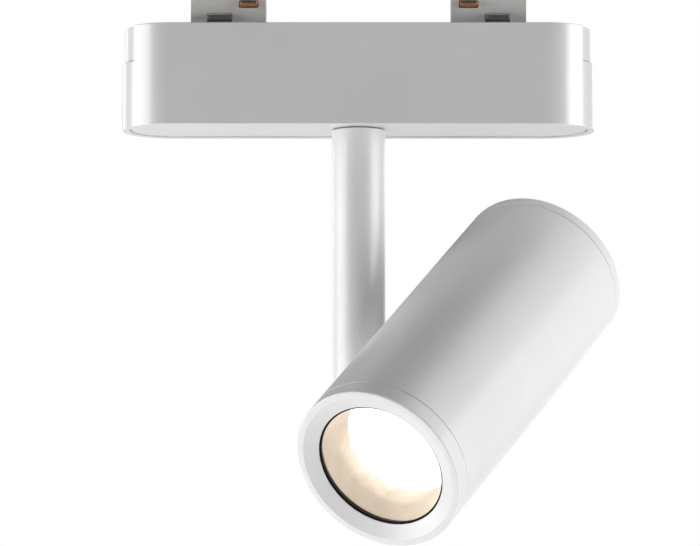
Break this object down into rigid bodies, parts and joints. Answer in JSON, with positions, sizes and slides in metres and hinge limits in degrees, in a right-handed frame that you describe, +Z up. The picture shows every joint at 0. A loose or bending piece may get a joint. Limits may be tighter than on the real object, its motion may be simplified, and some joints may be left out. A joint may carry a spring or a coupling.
{
  "type": "track spotlight",
  "caption": "Cylindrical LED spotlight that turns and tilts on a side stem, hung from a slim driver housing with release tabs that locks into a lighting track.",
  "frame": {"origin": "centre of the driver housing's flat top face, which seats against the track, on the stem's turning axis", "axes": "+X along the track, +Z up into the track, -Y towards the side that the beam faces at rest"},
  "size_m": [0.1724, 0.1339, 0.1953],
  "materials": {
    "white_paint": "satin",
    "housing_plastic": "satin",
    "adapter_plastic": "satin",
    "screw_steel": "satin",
    "spring_steel": "satin",
    "zinc_plate": "satin",
    "contact_copper": "satin",
    "acetal": "satin",
    "circuit_board": "satin",
    "led_circuit_board": "satin",
    "ferrite": "matte",
    "capacitor_sleeve": "satin",
    "terminal_plastic": "satin",
    "holder_plastic": "satin",
    "lead_jacket": "satin",
    "live_jacket": "satin",
    "neutral_jacket": "satin",
    "earth_jacket": "satin",
    "black_ring": "satin",
    "champagne_satin": "satin",
    "lens_plastic": "satin",
    "vapour_aluminium": "polished",
    "phosphor": "matte",
    "raw_aluminium": "satin"
  },
  "bodies": {
    "housing": {"driver_housing": "housing_plastic", "bottom_plate": "housing_plastic", "housing_screw_1": "screw_steel", "housing_screw_2": "screw_steel", "housing_screw_3": "screw_steel", "housing_screw_4": "screw_steel", "pan_bushing": "acetal", "driver_board": "circuit_board", "board_screw_1": "screw_steel", "board_screw_2": "screw_steel", "transformer": "ferrite", "input_capacitor": "capacitor_sleeve", "output_capacitor": "capacitor_sleeve", "filter_inductor": "ferrite", "terminal_block": "terminal_plastic", "live_lead": "live_jacket", "neutral_lead": "neutral_jacket", "earth_lead": "earth_jacket", "driver_lead": "lead_jacket", "adapter_block_left": "adapter_plastic", "adapter_block_right": "adapter_plastic", "tab_spring_left": "spring_steel", "tab_spring_right": "spring_steel"},
    "tab_left": {"release_tab_left": "housing_plastic"},
    "tab_right": {"release_tab_right": "housing_plastic"},
    "fin_left_front": {"lock_fin_left_front": "screw_steel"},
    "fin_left_back": {"lock_fin_left_back": "screw_steel"},
    "fin_right_front": {"lock_fin_right_front": "screw_steel"},
    "fin_right_back": {"lock_fin_right_back": "screw_steel"},
    "live_nose": {"live_contact": "contact_copper"},
    "neutral_nose": {"neutral_contact": "contact_copper"},
    "earth_nose": {"earth_contact": "contact_copper"},
    "stem": {"stem_neck": "zinc_plate", "pan_friction_washer": "spring_steel", "pan_stop_washer": "screw_steel", "pan_nut": "zinc_plate", "stem_tube": "white_paint", "stem_knuckle": "zinc_plate", "stem_end_cap": "white_paint", "pivot_bolt": "zinc_plate", "tilt_friction_washer": "acetal", "tilt_spring_washer": "spring_steel", "stem_lead": "lead_jacket"},
    "head": {"head_barrel": "white_paint", "front_bezel": "white_paint", "rear_cap": "white_paint", "cap_screw_1": "screw_steel", "cap_screw_2": "screw_steel", "cap_screw_3": "screw_steel", "outer_saddle": "white_paint", "inner_saddle": "zinc_plate", "mouth_ring": "black_ring", "reflector_cone": "champagne_satin", "lens": "lens_plastic", "inner_reflector": "vapour_aluminium", "led_holder": "holder_plastic", "led_emitter": "phosphor", "led_board": "led_circuit_board", "heat_sink": "raw_aluminium", "head_lead": "lead_jacket"}
  },
  "joints": [
    {"name": "stem_pan", "type": "hinge", "parent": "housing", "child": "stem", "pos_m": [0, 0, -0.035], "axis": [0, 0, 1], "range_deg": [-132.4, 197.4]},
    {"name": "head_tilt", "type": "hinge", "parent": "stem", "child": "head", "pos_m": [0, 0, -0.12046], "axis": [-0.8431, 0.5377, 0], "range_deg": [-54.25, 35.75]},
    {"name": "tab_left_push", "type": "slide", "parent": "housing", "child": "tab_left", "axis": [1, 0, 0], "range_m": [0, 0.0032], "stiffness_N_per_m": 400, "springref_m": -0.004, "deforming": ["tab_spring_left"]},
    {"name": "tab_right_push", "type": "slide", "parent": "housing", "child": "tab_right", "axis": [-1, 0, 0], "range_m": [0, 0.0032], "stiffness_N_per_m": 400, "springref_m": -0.004, "deforming": ["tab_spring_right"]},
    {"name": "fin_left_front_slide", "type": "slide", "parent": "housing", "child": "fin_left_front", "axis": [0, 1, 0], "range_m": [0, 0.0032]},
    {"name": "fin_left_back_slide", "type": "slide", "parent": "housing", "child": "fin_left_back", "axis": [0, -1, 0], "range_m": [0, 0.0032]},
    {"name": "fin_right_front_slide", "type": "slide", "parent": "housing", "child": "fin_right_front", "axis": [0, 1, 0], "range_m": [0, 0.0032]},
    {"name": "fin_right_back_slide", "type": "slide", "parent": "housing", "child": "fin_right_back", "axis": [0, -1, 0], "range_m": [0, 0.0032]},
    {"name": "live_contact_flex", "type": "slide", "parent": "housing", "child": "live_nose", "axis": [0, -1, 0], "range_m": [0, 0.002], "stiffness_N_per_m": 800, "springref_m": -0.002},
    {"name": "neutral_contact_flex", "type": "slide", "parent": "housing", "child": "neutral_nose", "axis": [0, 1, 0], "range_m": [0, 0.002], "stiffness_N_per_m": 800, "springref_m": -0.002},
    {"name": "earth_contact_flex", "type": "slide", "parent": "housing", "child": "earth_nose", "axis": [0, 1, 0], "range_m": [0, 0.002], "stiffness_N_per_m": 800, "springref_m": -0.002}
  ],
  "couplings": [
    {"joint": "fin_left_front_slide", "follows": "tab_left_push", "ratio": 1},
    {"joint": "fin_left_back_slide", "follows": "tab_left_push", "ratio": 1},
    {"joint": "fin_right_front_slide", "follows": "tab_right_push", "ratio": 1},
    {"joint": "fin_right_back_slide", "follows": "tab_right_push", "ratio": 1}
  ]
}
